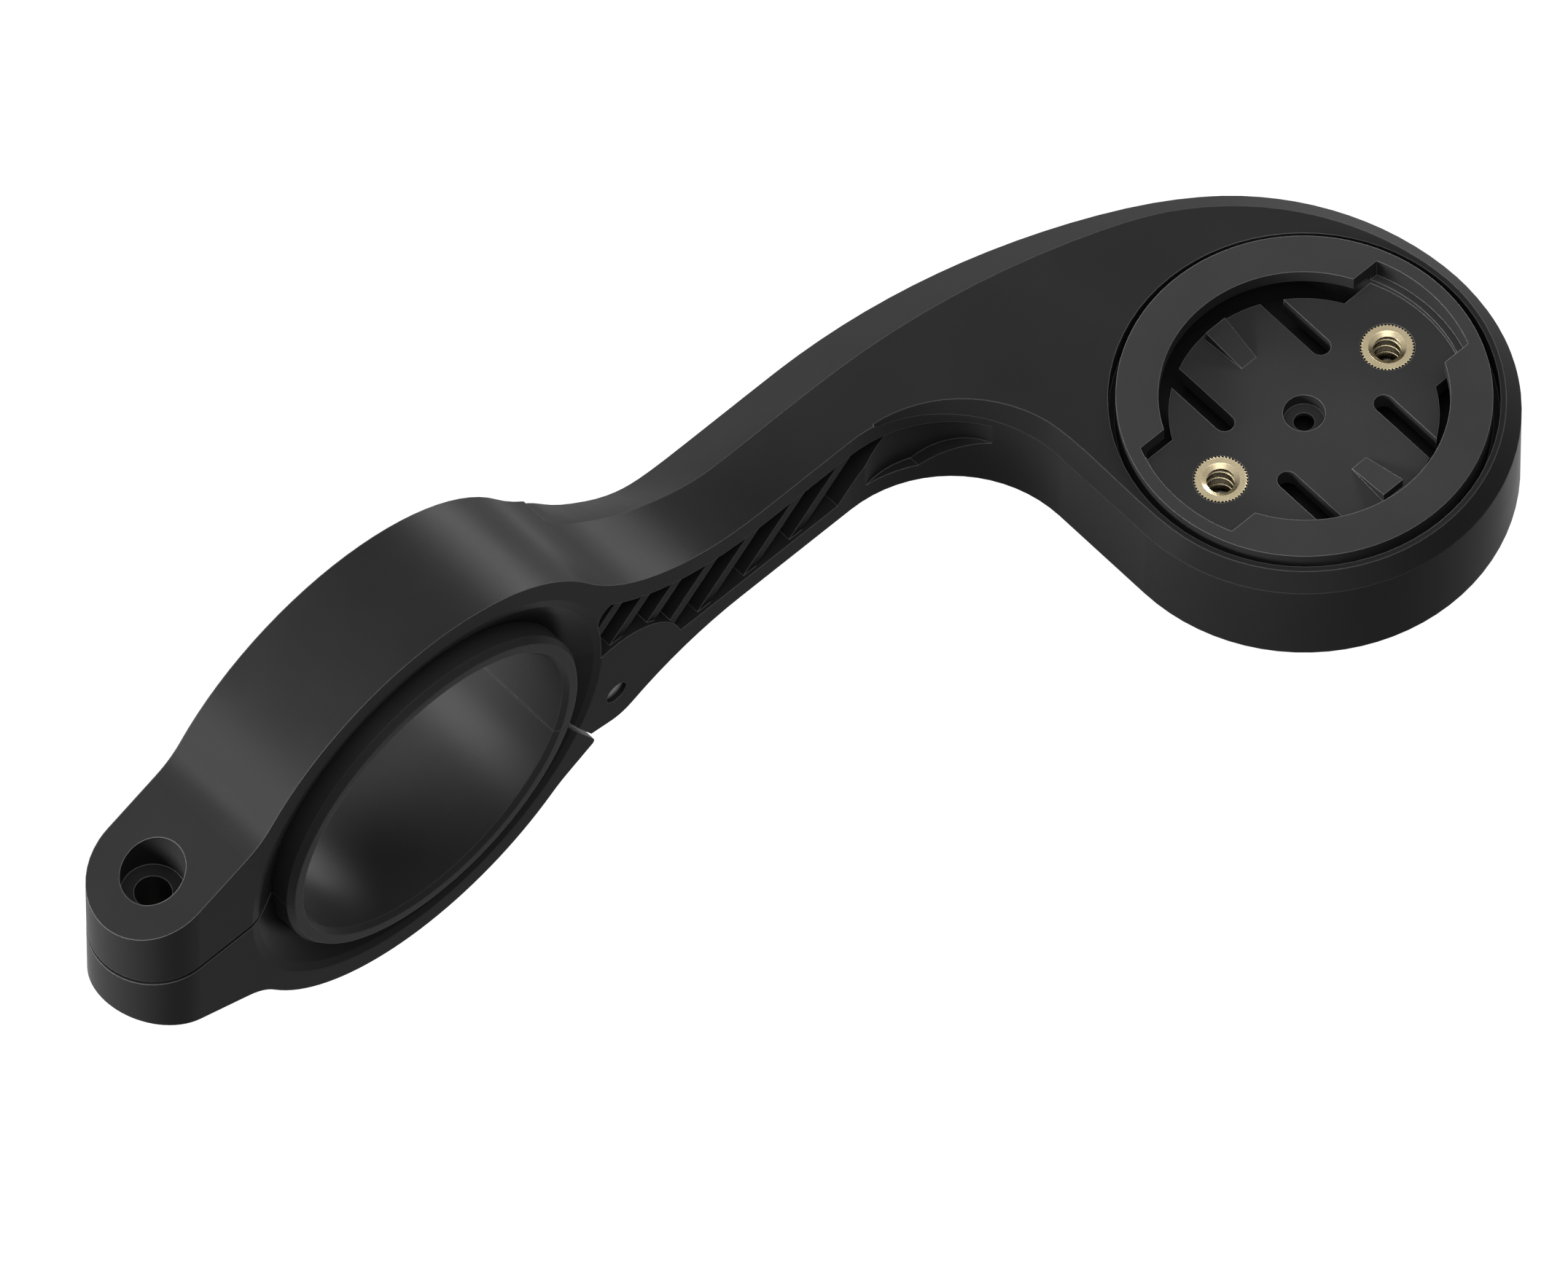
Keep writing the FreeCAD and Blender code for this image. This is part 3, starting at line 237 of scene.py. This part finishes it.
def metal(name, bright, dull, roughness, scratch):
    """Turned metal with faint tarnish and fine marks."""
    shader = Shader(name)
    surface = shader.surface.inputs
    normal = shader.rounded(METAL_EDGE)
    tarnish_and_shade = shader.spread(shader.noise(TARNISH_SIZE, detail=4), 0, 1)
    shader.join(shader.mix(tarnish_and_shade, bright, dull), surface["Base Color"])
    surface["Metallic"].default_value = 1.0
    marks = shader.noise(scratch, detail=3)
    gloss = shader.spread(marks, roughness + MARK_SMOOTHEST, roughness + MARK_ROUGHEST)
    shader.join(gloss, surface["Roughness"])
    shader.join(shader.bump(marks, MARK_DEPTH, MARK_STRENGTH, normal), surface["Normal"])
    return shader.material


# Each plastic's lighter edge colour is a painted highlight on its edges
finish = {
    "body": plastic(
        "body",
        colour=(0.014, 0.014, 0.0142),
        edge_highlight=(0.14, 0.14, 0.14),
        roughness=0.34,
        specular=0.012,
        grain=0.16,
        edge=0.15,
    ),
    "socket": plastic(
        "socket",
        colour=(0.026, 0.026, 0.0263),
        edge_highlight=(0.2, 0.2, 0.2),
        roughness=0.4,
        specular=0.015,
        grain=0.14,
        edge=0.1,
    ),
    "liner": plastic(
        "liner",
        colour=(0.0195, 0.0195, 0.0198),
        edge_highlight=(0.07, 0.07, 0.07),
        roughness=0.36,
        specular=0.024,
        grain=0.25,
        edge=0.16,
    ),
    "brass": metal(
        "brass",
        bright=(0.44, 0.375, 0.245),
        dull=(0.38, 0.32, 0.2),
        roughness=0.26,
        scratch=0.12,
    ),
    # Very dark brass for the inserts' bore walls down to the thread's root: painted shade in the grooves
    "tarnish_and_shade": metal(
        "tarnish_and_shade",
        bright=(0.03, 0.022, 0.012),
        dull=(0.016, 0.012, 0.007),
        roughness=0.6,
        scratch=0.12,
    ),
    "steel": metal(
        "steel",
        bright=(0.16, 0.16, 0.165),
        dull=(0.11, 0.11, 0.115),
        roughness=0.38,
        scratch=0.1,
    ),
}
for node in nodes.values():
    for place in node.material_slots:
        place.material = finish[place.material.name.split(".")[0]]


# Turned pieces: knurled inserts with an open thread, and the screws below them

# Places of an insert's materials: brass, and a very dark brass that paints shade on the bore's walls down
# to the thread's root
CLEAN = 0
PAINTED_SHADE = 1

# Shares of the insert's height
LOWER_KNURL_END = 0.40
NECK_START = 0.43
NECK_END = 0.57
UPPER_KNURL_START = 0.60

# The knurl outside, with one tooth drawn as a wave of depths from crest to root and back
KNURL_TEETH = 46
KNURL_WAVE = (0.0, 0.5, 1.0, 0.5)
KNURL_DEPTH = 0.2 * MM
KNURL_FOOT = 0.2 * MM
NECK_DEPTH = 1.6 * KNURL_DEPTH
FOOT_CHAMFER = 0.35 * MM

# The bore: its radii, and how far from its ends it is countersunk and open to the thread's root
INSERT_MOUTH = 1.76 * MM
INSERT_CREST = 1.28 * MM
INSERT_ROOT = 1.5 * MM
MOUTH_DEPTH = 0.3 * MM
ROOT_DEPTH = 0.45 * MM
ROOT_FOOT = 0.3 * MM

# The thread, whose foot is sunk in the wall of the bore
THREAD_PITCH = 1.03 * MM
THREAD_STEPS = 36
THREAD_END_GAP = 0.35 * MM
THREAD_SINK = 0.04 * MM

# Half widths of the ridge as shares of the pitch, and the share of its width that its ends keep
THREAD_FOOT_HALF = 0.46
THREAD_CREST_HALF = 0.38
THREAD_END_WIDTH = 0.1

# The screws that hold the socket: radii, heights and the hexagon key
SCREW_SIDES = 48
SCREW_HEAD = 2.75 * MM
SCREW_HEAD_HEIGHT = 1.9 * MM
SCREW_SHANK = 1.2 * MM
SCREW_TOP_GAP = 2.0 * MM
SCREW_END_CHAMFER = 0.25 * MM
KEY_FLAT = 1.0 * MM
KEY_DEPTH = 1.1 * MM

# The head's dome: shares of its radius, with the height of each in millimetres
SCREW_DOME = ((0.62, 0.0), (0.82, 0.14), (0.95, 0.5), (1.0, 1.0))


def turned_rings(mesh, levels, sides):
    """Rings of vertices, one for each level's radius and height; a list of radii goes round the ring."""
    rings = []
    for radius, z in levels:
        radii = radius if isinstance(radius, list) else [radius] * sides
        rings.append([
            mesh.verts.new((
                radii[k] * math.cos(2 * math.pi * k / sides),
                radii[k] * math.sin(2 * math.pi * k / sides),
                z,
            ))
            for k in range(sides)
        ])
    return rings


def bridge(mesh, low, high, material=CLEAN):
    """Faces between two rings with as many vertices."""
    count = len(low)
    for k in range(count):
        after = (k + 1) % count
        mesh.faces.new((low[k], low[after], high[after], high[k])).material_index = material


def finished_piece(mesh, name, node, materials):
    """An object of the mesh, standing on the axis and lower end of a CAD node."""
    bmesh.ops.recalc_face_normals(mesh, faces=mesh.faces)
    body = bpy.data.meshes.new(name)
    mesh.to_mesh(body)
    mesh.free()
    for material in materials:
        body.materials.append(finish[material])
    piece = bpy.data.objects.new(name, body)
    low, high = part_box(node)
    piece.location = Vector(((low.x + high.x) / 2, (low.y + high.y) / 2, low.z))
    bpy.context.scene.collection.objects.link(piece)
    return piece


def knurled_insert(node):
    """A brass insert that fills its CAD node, knurled above and below its neck, with a countersunk bore."""
    low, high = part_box(node)
    outer = (high.x - low.x) / 2
    height = high.z - low.z
    sides = len(KNURL_WAVE) * KNURL_TEETH
    knurl = [outer - KNURL_DEPTH * KNURL_WAVE[k % len(KNURL_WAVE)] for k in range(sides)]
    levels = [
        (outer - FOOT_CHAMFER, 0),
        (knurl, KNURL_FOOT),
        (knurl, LOWER_KNURL_END * height),
        (outer - NECK_DEPTH, NECK_START * height),
        (outer - NECK_DEPTH, NECK_END * height),
        (knurl, UPPER_KNURL_START * height),
        (knurl, height),
        (INSERT_MOUTH, height),
        (INSERT_CREST, height - MOUTH_DEPTH),
        (INSERT_ROOT, height - ROOT_DEPTH),
        (INSERT_ROOT, ROOT_FOOT),
        (INSERT_MOUTH, 0),
    ]
    mesh = bmesh.new()
    rings = turned_rings(mesh, levels, sides)
    for k, first in enumerate(rings):
        after = (k + 1) % len(rings)
        # The bore's walls down to the thread's root take the very dark brass, which is painted shade in the
        # grooves between the thread's turns
        leads_to_root = levels[after][0] == INSERT_ROOT
        bridge(mesh, first, rings[after], PAINTED_SHADE if leads_to_root else CLEAN)
    return finished_piece(mesh, node + "_knurled", node, ("brass", "tarnish_and_shade"))


def thread(node):
    """The thread in an insert: one broad helical ridge with narrow grooves between its turns, which are
    dark with the painted shade on the bore's wall.
    """
    low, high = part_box(node)
    turns = (high.z - low.z - 2 * THREAD_END_GAP) / THREAD_PITCH
    steps = int(turns * THREAD_STEPS)
    section = (
        (INSERT_ROOT + THREAD_SINK, -THREAD_FOOT_HALF),
        (INSERT_CREST, -THREAD_CREST_HALF),
        (INSERT_CREST, THREAD_CREST_HALF),
        (INSERT_ROOT + THREAD_SINK, THREAD_FOOT_HALF),
    )
    mesh = bmesh.new()
    rows = []
    for step in range(steps + 1):
        angle = 2 * math.pi * step / THREAD_STEPS
        z = THREAD_END_GAP + THREAD_PITCH * step / THREAD_STEPS
        ease = min(1.0, step / THREAD_STEPS, (steps - step) / THREAD_STEPS)
        rows.append([
            mesh.verts.new((
                (INSERT_ROOT + (radius - INSERT_ROOT) * ease) * math.cos(angle),
                (INSERT_ROOT + (radius - INSERT_ROOT) * ease) * math.sin(angle),
                z + rise * THREAD_PITCH * max(ease, THREAD_END_WIDTH),
            ))
            for radius, rise in section
        ])
    for first, second in zip(rows, rows[1:]):
        bridge(mesh, first, second)
    mesh.faces.new(rows[0])
    mesh.faces.new(rows[-1][::-1])
    return finished_piece(mesh, node + "_thread", node, ("brass",))


def socket_screw(node):
    """A pan head screw with a hexagon key, head down, whose shank stays low in the insert above it."""
    low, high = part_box(node)
    top = high.z - low.z - SCREW_TOP_GAP
    sixth = math.pi / 3
    key = [
        KEY_FLAT / math.cos((2 * math.pi * k / SCREW_SIDES) % sixth - sixth / 2)
        for k in range(SCREW_SIDES)
    ]
    levels = [
        (key, KEY_DEPTH),
        (key, 0),
        *((share * SCREW_HEAD, z * MM) for share, z in SCREW_DOME),
        (SCREW_HEAD, SCREW_HEAD_HEIGHT),
        (SCREW_SHANK, SCREW_HEAD_HEIGHT),
        (SCREW_SHANK, top - SCREW_END_CHAMFER),
        (SCREW_SHANK - SCREW_END_CHAMFER, top),
    ]
    mesh = bmesh.new()
    rings = turned_rings(mesh, levels, SCREW_SIDES)
    for first, second in zip(rings, rings[1:]):
        bridge(mesh, first, second)
    mesh.faces.new(rings[0])
    mesh.faces.new(rings[-1])
    return finished_piece(mesh, node + "_detailed", node, ("steel",))


for insert, carrier in (("front_insert", "root"), ("rear_insert", "root"), ("clamp_insert", "strap")):
    knurled = knurled_insert(insert)
    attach(knurled, carrier)
    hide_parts(insert)
    helix = thread(insert)
    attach(helix, carrier)
for screw in ("front_socket_screw", "rear_socket_screw"):
    detailed = socket_screw(screw)
    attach(detailed, "root")
    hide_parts(screw)


# Studio: a white floor, a large lamp above and two behind for the long highlights, lengths in metres

STRAP_ROOM = 43 * MM
FLOOR_REACH = 4.0
FLOOR_COLOUR = (0.1, 0.1, 0.1)
FLOOR_SEEN_COLOUR = (0.17, 0.17, 0.17)
FLOOR_GLOW = 0.76
WORLD_LIGHT = 0.2


def floor_material():
    """White to the camera and to metal, dim as a source of light, and clear from below."""
    shader = Shader("floor")
    new_node = shader.tree.nodes.new
    surface = shader.surface.inputs
    shown = seen(shader.tree)
    shader.join(shader.mix(shown, FLOOR_COLOUR, FLOOR_SEEN_COLOUR), surface["Base Color"])
    surface["Emission Color"].default_value = (1, 1, 1, 1)
    glow = new_node("ShaderNodeMath")
    glow.operation = "MULTIPLY"
    glow.inputs[1].default_value = FLOOR_GLOW
    shader.join(shown, glow.inputs[0])
    shader.join(glow.outputs["Value"], surface["Emission Strength"])
    surface["Roughness"].default_value = 1.0
    surface["Specular IOR Level"].default_value = 0.0
    open_below = new_node("ShaderNodeMixShader")
    shader.join(new_node("ShaderNodeNewGeometry").outputs["Backfacing"], open_below.inputs["Fac"])
    shader.join(shader.surface.outputs["BSDF"], open_below.inputs[1])
    shader.join(new_node("ShaderNodeBsdfTransparent").outputs["BSDF"], open_below.inputs[2])
    shader.join(open_below.outputs["Shader"], shader.output.inputs["Surface"])
    return shader.material


def add_floor():
    """A floor that keeps the shadow, low enough for the strap to open above it."""
    reach = FLOOR_REACH
    corners = [(-reach, -reach, 0), (reach, -reach, 0), (reach, reach, 0), (-reach, reach, 0)]
    body = bpy.data.meshes.new("floor")
    body.from_pydata(corners, [], [(0, 1, 2, 3)])
    body.materials.append(floor_material())
    floor = bpy.data.objects.new("floor", body)
    floor.location.z = cad_box[0].z - STRAP_ROOM
    bpy.context.scene.collection.objects.link(floor)


def add_lamp(name, azimuth, elevation, distance, size, power):
    """A round soft lamp that faces the part."""
    lamp = bpy.data.objects.new(name, bpy.data.lights.new(name, "AREA"))
    lamp.data.shape = "DISK"
    lamp.data.size = size
    lamp.data.energy = power
    stand_off(lamp, azimuth, elevation, distance)


def add_world():
    """A dim light from all round, behind which camera and metal see white."""
    world = bpy.data.worlds.new("studio")
    world.use_nodes = True
    tree = world.node_tree
    level = tree.nodes.new("ShaderNodeMapRange")
    level.inputs["To Min"].default_value = WORLD_LIGHT
    level.inputs["To Max"].default_value = 1.0
    tree.links.new(seen(tree), level.inputs["Value"])
    background = tree.nodes["Background"]
    background.inputs["Color"].default_value = (1, 1, 1, 1)
    tree.links.new(level.outputs["Result"], background.inputs["Strength"])
    bpy.context.scene.world = world


add_camera()
add_floor()
add_world()
add_lamp("lamp_top", azimuth=-20, elevation=80, distance=1.0, size=0.9, power=8.3)
add_lamp("lamp_back_right", azimuth=113, elevation=12, distance=0.6, size=0.3, power=6.0)
add_lamp("lamp_back_left", azimuth=-113, elevation=16, distance=0.6, size=0.3, power=9.0)
bpy.context.scene.view_settings.view_transform = "Standard"
